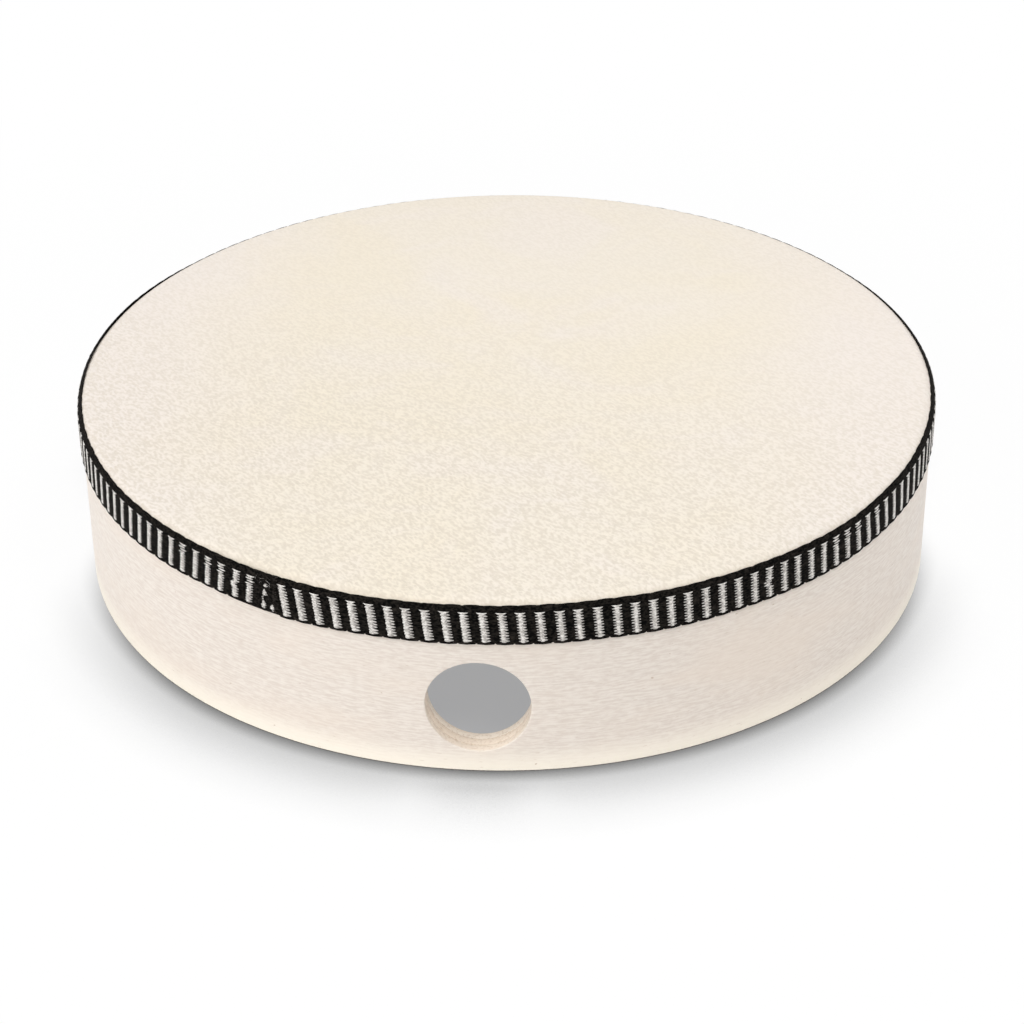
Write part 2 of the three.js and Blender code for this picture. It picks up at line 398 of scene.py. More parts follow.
shell = {
    "radius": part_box("outer_ply")[1].x,
    "height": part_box("core_ply")[1].z,
    "bearingRound": 2.2 * mm,
    "footRound": 0.35 * mm,
    "glueGap": 0.05 * mm,
    "plyThick": 2.1 * mm,
    "seamGap": 0.3 * mm,
    "edgeBreak": 0.12 * mm,
    "holeRadius": 11.25 * mm,
    "holeBreak": 0.22 * mm,
    "patchHalf": 13.5 * mm,
    "patchSteps": 16,
    "columnsPerSide": 112,
    "rowStep": 3 * mm,
    "shoulderClear": 1 * mm,
    "roundSteps": 4,
    "breakSteps": 2,
    "bearingSteps": 8,
    "ringShares": (0.4, 0.75),  # rings between the square patch and the round hole
}
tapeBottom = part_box("trim_tape")[0].z
shell["holeHeight"] = tapeBottom / 2
shoulderRadius = shell["radius"] - shell["bearingRound"]
shoulderHeight = shell["height"] - shell["bearingRound"]


def corner(centreRadius, centreHeight, size, first, last, steps):
    angles = np.radians(np.linspace(first, last, steps + 1))
    return [(centreRadius + size * math.cos(a), centreHeight + size * math.sin(a)) for a in angles]


def plySection(inner, outer, isOuter, isInner):
    small = shell["edgeBreak"]
    foot = shell["footRound"] if isOuter else small
    heel = shell["footRound"] if isInner else small
    top = shell["height"]
    step = shell["rowStep"]
    lowest = shell["holeHeight"] - shell["patchHalf"]
    patchRows = np.linspace(lowest, lowest + 2 * shell["patchHalf"], shell["patchSteps"] + 1)
    upperRows = list(np.arange(patchRows[-1] + step, top - step, step))
    section = corner(outer - foot, foot, foot, -90, 0, shell["roundSteps"])
    outerStart = len(section)
    section += [(outer, z) for z in patchRows]
    if isOuter:
        bearing = shell["bearingRound"]
        section += [(outer, z) for z in upperRows if z < shoulderHeight - shell["shoulderClear"]]
        reach = math.degrees(math.acos((inner - shoulderRadius) / bearing))
        section += corner(shoulderRadius, shoulderHeight, bearing, 0, reach, shell["bearingSteps"])
    else:
        section += [(outer, z) for z in upperRows]
        section += corner(outer - small, top - small, small, 0, 90, shell["breakSteps"])
    if isInner:
        section += corner(inner + heel, top - heel, heel, 90, 180, shell["roundSteps"])
    elif not isOuter:
        section += corner(inner + small, top - small, small, 90, 180, shell["breakSteps"])
    section += [(inner, z) for z in reversed(upperRows)]
    innerStart = len(section)
    section += [(inner, z) for z in patchRows[::-1]]
    section += corner(inner + heel, heel, heel, 180, 270, shell["roundSteps"])
    return np.array(section), outerStart, innerStart


def plyColumns(radius, seam):
    half = shell["patchHalf"]
    slack = math.degrees(shell["seamGap"] / 2 / radius)
    edge = math.degrees(math.asin(half / radius))
    across = np.linspace(-half, half, shell["patchSteps"] + 1)
    middle = np.degrees(np.arcsin(across / radius))
    left = np.linspace(seam - 360 + slack, -edge, shell["columnsPerSide"] + 1)[:-1]
    right = np.linspace(edge, seam - slack, shell["columnsPerSide"] + 1)[1:]
    return np.concatenate([left, middle, right])


def borderOrder(steps):  # row and column of each point round a square patch
    order = [(0, i) for i in range(steps)]
    order += [(i, steps) for i in range(steps)]
    order += [(steps, steps - i) for i in range(steps)]
    order += [(steps - i, 0) for i in range(steps)]
    return order


def makePly(inner, outer, seam, isOuter, isInner):
    section, outerStart, innerStart = plySection(inner, outer, isOuter, isInner)
    steps = shell["patchSteps"]
    points = np.concatenate([around(plyColumns(r, seam), r, z) for r, z in section])
    columns = 2 * shell["columnsPerSide"] + steps + 1
    firstColumn = shell["columnsPerSide"]
    cut = set()
    for start in (outerStart, innerStart):
        for row in range(start, start + steps):
            cut.update(row * columns + column for column in range(firstColumn, firstColumn + steps))
    faces = [face for face in gridFaces(len(section), columns, closeRows=True) if face[0] not in cut]
    faces.append([row * columns for row in range(len(section))])
    faces.append([row * columns + columns - 1 for row in range(len(section))])
    order = borderOrder(steps)
    outerRing = [(outerStart + row) * columns + firstColumn + column for row, column in order]
    innerRing = [(innerStart + steps - row) * columns + firstColumn + column for row, column in order]
    border = points[outerRing]
    aside = border[:, 0]
    rise = border[:, 2] - shell["holeHeight"]
    swing = np.arctan2(rise, aside)

    def onWall(wallRadius, share, size, depth):
        circleX = size * np.cos(swing)
        circleZ = size * np.sin(swing)
        x = aside * (1 - share) + circleX * share
        z = rise * (1 - share) + circleZ * share
        y = -np.sqrt(wallRadius**2 - x**2) + depth
        return np.stack([x, y, z + shell["holeHeight"]], axis=-1)

    hole = shell["holeRadius"]
    outerBreak = shell["holeBreak"] if isOuter else shell["edgeBreak"]
    innerBreak = shell["edgeBreak"]
    bends = np.radians(np.linspace(0, 90, shell["roundSteps"] + 1))
    rings = [onWall(outer, share, hole + outerBreak, 0) for share in shell["ringShares"]]
    for bend in bends:
        size = hole + outerBreak * (1 - math.sin(bend))
        rings.append(onWall(outer, 1, size, outerBreak * (1 - math.cos(bend))))
    for bend in bends[::-1]:
        size = hole + innerBreak * (1 - math.sin(bend))
        rings.append(onWall(inner, 1, size, -innerBreak * (1 - math.cos(bend))))
    rings += [onWall(inner, share, hole + innerBreak, 0) for share in shell["ringShares"][::-1]]
    chain = [outerRing]
    for ring in rings:
        chain.append(list(range(len(points), len(points) + len(ring))))
        points = np.concatenate([points, ring])
    chain.append(innerRing)
    for first, second in zip(chain[:-1], chain[1:]):
        for i in range(len(first)):
            j = (i + 1) % len(first)
            faces.append((first[i], first[j], second[j], second[i]))
    return points, faces


woodSurface = {"Specular IOR Level": 0.30, "Coat Weight": 0.5, "Coat Roughness": 0.35}
plies = [
    {
        "node": "outer_ply",
        "seam": 180.0,
        "slot": "face_veneer",
        "pale": tone(240, 231, 221),
        "fibre": tone(226, 214, 203),
        "warm": tone(238, 224, 210),
        # painted light: the paler colour toward the foot
        "foot": tone(255, 247, 233),
        "cut": tone(245, 232, 217),
    },
    {
        "node": "core_ply",
        "seam": 202.5,
        "slot": "core_veneer",
        "pale": tone(254, 242, 228),
        "fibre": tone(246, 230, 212),
        "warm": tone(252, 236, 218),
        "foot": tone(254, 242, 228),
        "cut": tone(248, 235, 220),
    },
    {
        "node": "inner_ply",
        "seam": 225.0,
        "slot": "face_veneer",
        "pale": tone(253, 241, 227),
        "fibre": tone(244, 228, 211),
        "warm": tone(250, 234, 217),
        "foot": tone(253, 241, 227),
        "cut": tone(255, 247, 236),
    },
]
plyOuter = shell["radius"]
for number, ply in enumerate(plies):
    isOuter = number == 0
    isInner = number == len(plies) - 1
    plyInner = plyOuter - shell["plyThick"]
    values = {
        "Seam": math.radians(180.0 - ply["seam"]),
        "Pale": ply["pale"],
        "Fibre": ply["fibre"],
        "Warm": ply["warm"],
        "FootLight": ply["foot"],
        "Cut": ply["cut"],
        "Pore": tone(186, 160, 134),
        "Glue": tone(188, 162, 136),
        "Inner Glue": 0.0 if isInner else plyInner,
        "Outer Glue": 0.0 if isOuter else plyOuter,
    }
    wood = makeMaterial(ply["node"] + "Wood", woodGroup, values, veneerLook["bump"], woodSurface)[0]
    plyPoints, plyFaces = makePly(plyInner, plyOuter, ply["seam"], isOuter, isInner)
    addPiece("shell_" + ply["node"], plyPoints, plyFaces, wood, ply["node"])
    plyOuter = plyInner - shell["glueGap"]
print("shell made, inside radius", round(plyInner, 5))

skin = {
    "inside": 0.05 * mm,
    "outside": 0.35 * mm,
    "bottom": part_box("drum_head")[0].z,
    "columns": 288,
    "rings": 44,
    "innerRing": 1.5 * mm,
    "edgeSteps": 12,
    "collarRows": 5,
    "ripple": 0.05 * mm,
    "fadeFrom": 90 * mm,  # radius where the ripple has died out
    "fadeOver": 30 * mm,
    "sharpFrom": 50.0,
    "flatAcross": 0.216,
}
hideValues = {
    "Cream": tone(250, 241, 224),
    "Pale": tone(250, 242, 229),
    "Pink": tone(250, 242, 236),
    "Shade": tone(221, 211, 195),
    # the last colour is painted shade, with some dirt, where the skin meets the tape
    "EdgeShade": tone(214, 200, 180),
}
hideSurface = {"Specular IOR Level": 0.12}
hide, hideTree, hideShader, hideOut = makeMaterial(
    "Rawhide", hideGroup, hideValues, hideLook["bump"], hideSurface
)
through = addNode(hideTree, "ShaderNodeBsdfTranslucent", {"Color": tone(238, 220, 190)})
thinValues = {0: hideLook["thinShare"], 1: hideShader.outputs[0], 2: through.outputs[0]}
thin = addNode(hideTree, "ShaderNodeMixShader", thinValues)
feed(hideTree, hideOut.inputs["Surface"], thin.outputs[0])


def skinProfile(offset, reverse):
    flat = np.linspace(skin["innerRing"], shoulderRadius, skin["rings"])
    size = shell["bearingRound"] + offset
    rows = [(r, shell["height"] + offset) for r in flat[:-1]]
    rows += corner(shoulderRadius, shoulderHeight, size, 90, 0, skin["edgeSteps"])
    collar = np.linspace(shoulderHeight, skin["bottom"], skin["collarRows"])
    rows += [(shoulderRadius + size, z) for z in collar[1:]]
    return rows[::-1] if reverse else rows


def makeHead():
    rows = np.array(skinProfile(skin["outside"], False) + skinProfile(skin["inside"], True))
    turns = np.arange(skin["columns"]) * 360.0 / skin["columns"]
    points = np.concatenate([around(turns, r, z) for r, z in rows])
    faces = gridFaces(len(rows), skin["columns"], closeColumns=True)
    last = (len(rows) - 1) * skin["columns"]
    points = np.concatenate([points, [[0, 0, rows[0][1]], [0, 0, rows[-1][1]]]])
    for i in range(skin["columns"]):
        j = (i + 1) % skin["columns"]
        faces.append((i, j, len(points) - 2))
        faces.append((last + i, last + j, len(points) - 1))
    x = points[:, 0]
    y = points[:, 1]
    radius = np.hypot(x, y)
    fade = np.clip((skin["fadeFrom"] - radius) / skin["fadeOver"], 0, 1)
    fade = fade * fade * (3 - 2 * fade)
    # slow hollows, in radians per metre
    wave = np.sin(x * 78 + 0.6 * np.sin(y * 61) + 0.4) * np.cos(y * 66 - 0.9)
    wave += 0.6 * np.sin(x * 128 - y * 95 + 1.7)
    points[:, 2] += skin["ripple"] * wave * fade
    return points, faces


headPoints, headFaces = makeHead()
head = addPiece("rawhide_head", headPoints, headFaces, hide, "drum_head", skin["sharpFrom"])
print("head made")

tape = {
    "width": 9.3 * mm,
    "bed": 0.36 * mm,
    "middle": 0.1 * mm,  # off the bed, where lengths round the shell's edge are measured
    "ground": 0.14 * mm,
    "groundRows": 9,
    "backRows": (0.75, 0.5, 0.25),
    "selvedge": 0.5 * mm,
    "selvedgeSteps": 4,
    "lowerTuck": 0.12,  # mm
    "upperTuck": 0.08,
    "roughAt": np.linspace(-40, 340, 900),  # degrees
    "rough": 0.04,  # mm
    "cutYarns": 12,
    "cutRagged": 0.24,  # degrees
    "start": -32.0,
    "end": 334.9,
    "bareEnd": 0.6,
    "rampStart": 322.86,
    "rampLength": 5.14,
    "lapLift": 0.40 * mm,
    "cutDrop": 0.10 * mm,
    "columns": 1400,
    "barStep": 2.2482,
    "firstBar": -24.0,
    "bars": 161,
    "bareBars": 2,
    "stretch": 0.42,
    "floatsPerBar": 11,
    "barLow": 0.78 * mm,
    "barHigh": 6.88 * mm,
    "whiteWide": 0.41 * mm,
    "whiteDeep": 0.12 * mm,
    "whiteOff": 0.18 * mm,
    "whiteTaper": 0.40,
    "tip": (0.30 * mm, 0.12 * mm, 0.17 * mm, 0.0, 0.80),  # painted-shade tip floats: half width, depth, off the skin, curl, taper
    "looseHalf": 1.14 * mm,
    "looseWide": 0.24 * mm,
    "looseTaper": 0.70,
    "looseRows": 3,
    "looseTurn": 0.12,
    "blackHalf": 1.46 * mm,
    "blackWide": 0.30 * mm,
    "blackDeep": 0.10 * mm,
    "blackOff": 0.12 * mm,
    "blackTaper": 0.55,
    "capUp": 7.46 * mm,
    "capHalf": 1.17 * mm,
    "capWide": 0.24 * mm,
    "capCurl": 0.24 * mm,
    "hemFrom": 0.2 * mm,
    "hemUp": 0.06 * mm,
    "hem": (1.97 * mm, 0.26 * mm, 0.15 * mm, 0.13 * mm, 0.10 * mm, 0.16),  # half length, then as in tip
    "borderRows": [(8.16 * mm, 0.5), (8.50 * mm, 0.0), (8.82 * mm, 0.5)],  # up, and the shift in half bars
    "border": (1.22 * mm, 0.26 * mm, 0.07 * mm, 0.11 * mm, 0.0, 0.4),
    "crestUp": 9.12 * mm,
    "crest": (2.05 * mm, 0.24 * mm, 0.08 * mm, 0.11 * mm, -0.12 * mm, 0.3),
    "kinkedBars": [27, 157],
    "kinkRows": (4, 5),
    "kinkTurn": 0.28,
    "kinkEnds": (3, 6),
    "kinkShort": 0.72,
    "looseBars": [32, 33, 34, 36, 153, 155, 156, 158],
    "leanAt": [-32, 0, 25, 46, 52, 57, 61, 68, 180, 270, 320, 335],
    "lean": [9, 6, 4.5, 4.5, 9, 12, 10, 6, 0, -6, -8, -8],
    "hookAt": [48, 56, 70, 80],
    "hook": [0, 0.40 * mm, 0.40 * mm, 0],
    "hookUp": 2.4 * mm,
    "sink": 0.7,  # how far a float's ends dive, as a share of its depth
    "groundSharp": 60.0,
    "yarnSharp": 80.0,
}
uneven = {  # spread of each measure from yarn to yarn
    "bar": 0.04,
    "up": 0.02 * mm,
    "turn": 0.016,
    "half": 0.05,
    "blackTurn": 0.03,
    "blackHalf": 0.04,
    "blackDeep": 0.012 * mm,
    "border": 0.04 * mm,
    "crest": 0.03 * mm,
}
# the tips are darker copies of the white floats, poking out on the side away from the light: painted shade
# degrees round the drum, then in mm the white half length, its shift, the tips' half length, their shift
barShape = np.array([
    (-32, 0.76, -0.23, 1.12, 0.23),
    (-6, 0.74, -0.21, 1.14, 0.21),
    (8, 0.60, 0.00, 1.27, 0.00),
    (38, 0.60, 0.02, 1.26, -0.04),
    (50, 0.70, 0.06, 1.16, -0.10),
    (64, 0.70, 0.00, 1.02, 0.00),
    (90, 0.66, 0.00, 0.98, 0.00),
    (180, 0.74, 0.00, 1.10, 0.00),
    (270, 0.66, 0.00, 0.98, 0.00),
    (296, 0.70, 0.00, 1.02, 0.00),
    (318, 0.72, -0.04, 1.12, 0.05),
    (335, 0.68, -0.06, 1.16, 0.10),
]).T
stray = np.array([  # degrees round the drum, mm the tape rides up, is spread, stands off
    (-32, -0.30, 0.10, 0),
    (-25, -0.39, 0.42, 0),
    (-20, -0.37, 0.22, 0),
    (-15, -0.24, 0.00, 0),
    (-10, -0.14, 0.00, 0),
    (-5, -0.12, 0.10, 0),
    (0, -0.02, 0.00, 0),
    (10, -0.06, 0.05, 0),
    (15, 0.05, 0.10, 0),
    (22, -0.15, 0.15, 0),
    (28, -0.12, 0.20, 0),
    (34, 0.00, 0.15, 0),
    (40, -0.06, 0.20, 0),
    (47, -0.22, 0.35, 0),
    (52, -0.20, 0.35, 0),
    (57, 0.08, 0.40, 0),
    (62, 0.15, 0.50, 0),
    (68, 0.20, 0.50, 0),
    (76, 0.35, 0.50, 0),
    (86, 0.42, 0.48, 0),
    (93, 0.55, 0.55, 0.15),
    (101, 0.55, 0.55, 0.25),
    (109, 0.55, 0.60, 0.28),
    (117, 0.40, 0.45, 0.22),
    (125, 0.20, 0.20, 0.05),
    (180, 0.05, 0.20, 0),
    (236, 0.15, 0.25, 0.05),
    (244, 0.20, 0.25, 0.30),
    (252, 0.35, 0.35, 0.44),
    (260, 0.45, 0.45, 0.42),
    (268, 0.50, 0.50, 0.30),
    (276, 0.48, 0.55, 0.08),
    (280, 0.39, 0.50, 0),
    (290, 0.30, 0.50, 0),
    (300, 0.25, 0.40, 0),
    (306, 0.15, 0.30, 0),
    (312, 0.18, 0.15, 0),
    (318, 0.10, 0.10, 0),
    (323, 0.18, -0.15, 0),
    (328, 0.22, -0.45, 0),
    (332, 0.06, -0.40, 0),
    (335, -0.10, -0.30, 0),
]).T
turnPerMetre = 180 / math.pi / (shell["radius"] + tape["bed"])


def tapePoint(turn, up, out):  # degrees round the drum, up from the lower edge, off the skin
    climb = np.clip((turn - tape["rampStart"]) / tape["rampLength"], 0, 1)
    lift = tape["lapLift"] * climb * climb * (3 - 2 * climb)
    lift = lift - tape["cutDrop"] * np.clip(turn - tape["end"] + 1, 0, 1)
    lift = lift + np.interp(turn, stray[0], stray[3]) * mm
    off = shell["bearingRound"] + tape["bed"] + lift + out
    level = up + np.interp(turn, stray[0], stray[1]) * mm
    level = level + np.interp(turn, stray[0], stray[2]) * mm * (up / tape["width"] - 0.5)
    straight = shoulderHeight - tapeBottom
    bend = np.clip((level - straight) / (shell["bearingRound"] + tape["bed"] + tape["middle"]), 0, None)
    height = tapeBottom + np.minimum(level, straight) + off * np.sin(bend)
    return around(turn, shoulderRadius + off * np.cos(bend), height)


def leanTurn(turn, up):  # where a bar that starts at turn is when it has risen to up
    middle = (tape["barLow"] + tape["barHigh"]) / 2
    lean = np.interp(turn, tape["leanAt"], tape["lean"])
    hook = np.interp(turn, tape["hookAt"], tape["hook"]) * np.clip(1 - up / tape["hookUp"], 0, 1) ** 2
    return turn - (np.tan(np.radians(lean)) * (up - middle) + hook) * turnPerMetre


def makeGround():
    turns = np.linspace(tape["start"], tape["end"], tape["columns"])
    edge = tape["selvedge"]
    width = tape["width"]
    roll = edge * (1 - np.cos(np.linspace(0, np.pi / 2, tape["selvedgeSteps"] + 1)))
    flat = np.linspace(2 * edge, width - 2 * edge, tape["groundRows"])
    ups = np.concatenate([roll, flat, width - roll[::-1]])
    inset = np.clip(np.minimum(ups, width - ups) / edge, 0, 1)
    outs = tape["ground"] * np.sqrt(1 - (1 - inset) ** 2)
    ups = np.concatenate([ups, width * np.array(tape["backRows"])])
    outs = np.concatenate([outs, np.zeros(len(tape["backRows"]))])
    rough = np.interp(turns, tape["roughAt"], chance.normal(0, tape["rough"], len(tape["roughAt"])))
    yarns = np.linspace(0, width, tape["cutYarns"])
    ragged = np.interp(ups, yarns, chance.normal(0, tape["cutRagged"], tape["cutYarns"]))
    nearCut = np.clip(turns - tape["end"] + 1, 0, 1)
    layers = []
    for up, out, rag in zip(ups, outs, ragged):
        low = np.clip(1 - up / (2 * edge), 0, 1)
        high = np.clip(1 - (width - up) / (2 * edge), 0, 1)
        shift = tape["lowerTuck"] * low + high * (rough - tape["upperTuck"])
        layers.append(tapePoint(turns + rag * nearCut, up + shift * mm, out))
    points = np.concatenate(layers)
    faces = gridFaces(len(ups), len(turns), closeRows=True)
    faces.append([row * len(turns) for row in range(len(ups))])
    faces.append([row * len(turns) + len(turns) - 1 for row in range(len(ups))])
    return points, faces


yarnSides = np.radians(np.arange(6) * 60 + 30)


def makeYarns(paths, wide, deep):  # paths hold turn, up and out at each station of each yarn
    run = np.gradient(paths[..., 0], axis=1) / turnPerMetre
    rise = np.gradient(paths[..., 1], axis=1)
    length = np.hypot(run, rise)
    swing = wide[..., None] * np.cos(yarnSides)
    turn = paths[..., 0:1] - swing * (rise / length)[..., None] * turnPerMetre
    up = paths[..., 1:2] + swing * (run / length)[..., None]
    out = paths[..., 2:3] + deep[..., None] * np.sin(yarnSides)
    sides = len(yarnSides)
    stations = paths.shape[1]
    size = stations * sides
    pattern = gridFaces(stations, sides, closeColumns=True)
    pattern.append(tuple(range(sides)))
    pattern.append(tuple(range(size - sides, size)))
    faces = [tuple(size * number + i for i in face) for number in range(len(paths)) for face in pattern]
    return tapePoint(turn, up, out).reshape(-1, 3), faces


# one row for each float: turn, up, half length, half width, depth, off the skin, curl, taper
def floatYarns(rows):
    turn, up, half, wide, deep, off, curl, taper = np.array(rows).T[:, :, None]
    one = np.ones_like(taper)
    t = np.concatenate([-one, taper / 2 - 1, taper - 1, 0 * one, 1 - taper, 1 - taper / 2, one], axis=1)
    girth = np.array([0.10, 0.60, 0.96, 1.0, 0.96, 0.60, 0.10])
    out = off - tape["sink"] * deep * t * t
    spine = np.stack([turn + half * t * turnPerMetre, up + curl * t * t, out], axis=-1)
    return makeYarns(spine, wide * girth, deep * girth)


def layFloats():
    white = []
    shadedTips = []
    black = []
    top = tape["floatsPerBar"] - 1
    step = (tape["barHigh"] - tape["barLow"]) / (top - 1)
    lastTurn = tape["end"] - tape["bareEnd"]
    for bar in range(tape["bars"] - tape["bareBars"]):
        centre = tape["firstBar"] + tape["barStep"] * bar
        pulled = tape["stretch"] * math.sin(math.radians(centre - tape["firstBar"]))
        centre += pulled + chance.normal(0, uneven["bar"])
        shape = [np.interp(centre, barShape[0], part) * mm for part in barShape[1:]]
        whiteHalf, whiteShift, tipHalf, tipShift = shape
        for row in range(top + 1):
            up = tape["barLow"] + step * row + chance.normal(0, uneven["up"])
            turn = leanTurn(centre, up) + chance.normal(0, uneven["turn"])
            half = whiteHalf * (1 + chance.normal(0, uneven["half"]))
            breadth = tape["whiteWide"]
            taper = tape["whiteTaper"]
            curl = 0.0
            isLoose = bar in tape["looseBars"] and top - tape["looseRows"] <= row < top
            if row == top:
                half = tape["capHalf"]
                up = tape["capUp"]
                breadth = tape["capWide"]
                curl = tape["capCurl"]
                taper = tape["looseTaper"]
            if isLoose:
                half = tape["looseHalf"]
                breadth = tape["looseWide"]
                taper = tape["looseTaper"]
                turn += tape["looseTurn"] * (-1) ** row
            if bar in tape["kinkedBars"]:
                turn -= tape["kinkTurn"] if row in tape["kinkRows"] else 0.0
                half *= tape["kinkShort"] if row in tape["kinkEnds"] else 1.0
            if row < top and not isLoose:
                # painted shade: a darker float under each white one, sticking out on its shaded side
                shadedTips.append((turn + tipShift * turnPerMetre, up, tipHalf) + tape["tip"])
                turn += whiteShift * turnPerMetre
            white.append((turn, up, half, breadth, tape["whiteDeep"], tape["whiteOff"], curl, taper))
        layBlack(black, centre, step, lastTurn)
    for bar in range(tape["bars"] - tape["bareBars"], tape["bars"]):
        layBlack(black, tape["firstBar"] + tape["barStep"] * bar, step, lastTurn)
    return white, shadedTips, black


def layBlack(black, centre, step, lastTurn):
    for row in range(tape["floatsPerBar"]):
        up = tape["barLow"] + step * (row + 0.5) + chance.normal(0, uneven["up"])
        turn = leanTurn(centre, up) + tape["barStep"] / 2 + chance.normal(0, uneven["blackTurn"])
        half = tape["blackHalf"] * (1 + chance.normal(0, uneven["blackHalf"]))
        deep = tape["blackDeep"] + chance.normal(0, uneven["blackDeep"])
        if turn < lastTurn:
            body = (half, tape["blackWide"], deep, tape["blackOff"], 0.0, tape["blackTaper"])
            black.append((turn, up) + body)
    foot = leanTurn(centre, tape["hemFrom"])
    if foot < lastTurn:
        black.append((foot, tape["hemUp"]) + tape["hem"])
    for level, shift in tape["borderRows"]:
        for half in (0.0, 0.5):
            spot = leanTurn(centre, level) + tape["barStep"] * (half + shift / 2)
            up = level + chance.normal(0, uneven["border"])
            if spot < lastTurn:
                black.append((spot, up) + tape["border"])
    crest = leanTurn(centre, tape["width"]) + tape["barStep"] / 2
    up = tape["crestUp"] + chance.normal(0, uneven["crest"])
    if crest < lastTurn:
        black.append((crest, up) + tape["crest"])


fray = {
    "strands": 40,
    "tufts": 5,
    "lowest": 0.2 * mm,
    "highest": 9.1 * mm,
    "root": 0.7 * mm,
    "reach": (0.3 * mm, 1.1 * mm),
    "tuftFrom": 8.6 * mm,
    "tuftRise": 0.40 * mm,
    "tuftShare": (0.4, 1.2),
    "drift": 0.25 * mm,
    "wave": 0.10 * mm,
    "strandOff": 0.20 * mm,
    "strandDrop": 0.16 * mm,
    "strandBow": 0.05 * mm,
    "strandGirth": (0.06 * mm, 0.10 * mm),
    "strandShape": np.array([0.6, 1, 1, 1, 0.9, 0.7, 0.25]),
    "hairLength": (0.5 * mm, 1.3 * mm),
    "hairBow": 0.15 * mm,
    "hairOff": 0.22 * mm,
    "hairRise": 0.10 * mm,
    "hairShape": np.array([0.3, 0.8, 1, 1, 1, 0.8, 0.3]),
    "stations": 7,
    "bitDeep": 0.10 * mm,
    "bitOff": 0.25 * mm,
    "bitTaper": 0.6,
    "whiteBits": [  # turn, up in mm, half length in mm, half width in mm
        (333.20, 0.78, 0.62, 0.32),
        (333.18, 1.28, 0.72, 0.31),
        (333.22, 1.76, 0.60, 0.30),
        (333.20, 2.16, 0.42, 0.25),
        (333.16, 2.50, 0.26, 0.13),
        (333.12, 2.92, 0.22, 0.11),
        (333.10, 3.34, 0.24, 0.11),
        (333.20, 3.72, 0.20, 0.10),
        (333.46, 4.22, 0.72, 0.29),
        (333.44, 4.66, 0.58, 0.28),
        (333.42, 5.06, 0.38, 0.25),
        (333.41, 5.40, 0.18, 0.17),
        (333.62, 6.44, 0.58, 0.27),
        (333.64, 6.80, 0.34, 0.20),
        (334.50, 0.56, 0.30, 0.22),
        (334.40, 1.05, 0.66, 0.31),
        (334.38, 1.48, 0.52, 0.29),
        (334.42, 1.90, 0.28, 0.22),
        (328.62, 4.05, 0.44, 0.24),
    ],
}


darkHairs = {"count": 110, "from": 331.9, "up": (0.4 * mm, 8.9 * mm), "girth": (0.03 * mm, 0.05 * mm)}
paleHairs = {"count": 6, "from": 332.3, "up": (6.6 * mm, 8.2 * mm), "girth": (0.014 * mm, 0.022 * mm)}


def layStrands():  # cut yarn ends that hang over the lap
    t = np.linspace(0, 1, fray["stations"])
    paths = []
    girths = []
    for strand in range(fray["strands"]):
        reach = chance.uniform(*fray["reach"])
        run = t * (reach + fray["root"]) - fray["root"]
        start = chance.uniform(fray["lowest"], fray["highest"])
        if strand < fray["tufts"]:
            start = chance.uniform(fray["tuftFrom"], fray["highest"])
        drift = chance.normal(0, fray["drift"])
        if start > fray["tuftFrom"]:
            drift = fray["tuftRise"] * chance.uniform(*fray["tuftShare"])
        wave = chance.normal(0, fray["wave"])
        up = start + drift * t * t + wave * np.sin(2 * np.pi * t)
        down = np.clip(run / reach, 0, 1)
        out = fray["strandOff"] - fray["strandDrop"] * down * down + fray["strandBow"] * np.sin(np.pi * t)
        paths.append(np.stack([tape["end"] + run * turnPerMetre, up, out], axis=-1))
        girths.append(chance.uniform(*fray["strandGirth"]) * fray["strandShape"])
    return paths, girths


def layHairs(hairs):  # loose filaments near the cut
    t = np.linspace(0, 1, fray["stations"])
    paths = []
    girths = []
    for hair in range(hairs["count"]):
        length = chance.uniform(*fray["hairLength"])
        way = chance.uniform(0, 2 * np.pi)
        bow = chance.normal(0, fray["hairBow"])
        middleTurn = chance.uniform(hairs["from"], tape["end"])
        middleUp = chance.uniform(*hairs["up"])
        run = length * (t - 0.5) * np.cos(way) - bow * np.sin(np.pi * t) * np.sin(way)
        up = middleUp + length * (t - 0.5) * np.sin(way) + bow * np.sin(np.pi * t) * np.cos(way)
        out = fray["hairOff"] + fray["hairRise"] * np.sin(np.pi * t)
        paths.append(np.stack([middleTurn + run * turnPerMetre, up, out], axis=-1))
        girths.append(chance.uniform(*hairs["girth"]) * fray["hairShape"])
    return paths, girths


whiteValues = {
    "Thread": tone(234, 230, 225),
    "Shade": tone(182, 177, 171),
    "Fuzz": tone(212, 207, 202),
    "Matt": 0.45,
}
# painted shade: a darker copy of the white yarn, for the float tips
shadedTipValues = {
    "Thread": tone(214, 210, 205),
    "Shade": tone(150, 146, 142),
    "Fuzz": tone(188, 184, 180),
    "Matt": 0.6,
}
frayValues = {"Thread": tone(58, 54, 51), "Shade": tone(24, 22, 20), "Fuzz": tone(92, 88, 84), "Matt": 0.75}
blackValues = {"Thread": tone(34, 31, 28), "Shade": tone(3, 3, 3), "Fuzz": tone(58, 53, 49), "Matt": 0.75}
whiteSurface = {"Specular IOR Level": 0.8, "Sheen Weight": 0.1, "Sheen Roughness": 0.5}
dullSurface = {"Specular IOR Level": 0.03}
whiteYarn = makeMaterial("WhiteYarn", yarnGroup, whiteValues, yarnLook["bump"], whiteSurface)[0]
shadedTipYarn = makeMaterial("ShadedTipYarn", yarnGroup, shadedTipValues, yarnLook["bump"], dullSurface)[0]
blackYarn = makeMaterial("BlackYarn", yarnGroup, blackValues, yarnLook["bump"], dullSurface)[0]
frayYarn = makeMaterial("FrayYarn", yarnGroup, frayValues, yarnLook["bump"], dullSurface)[0]


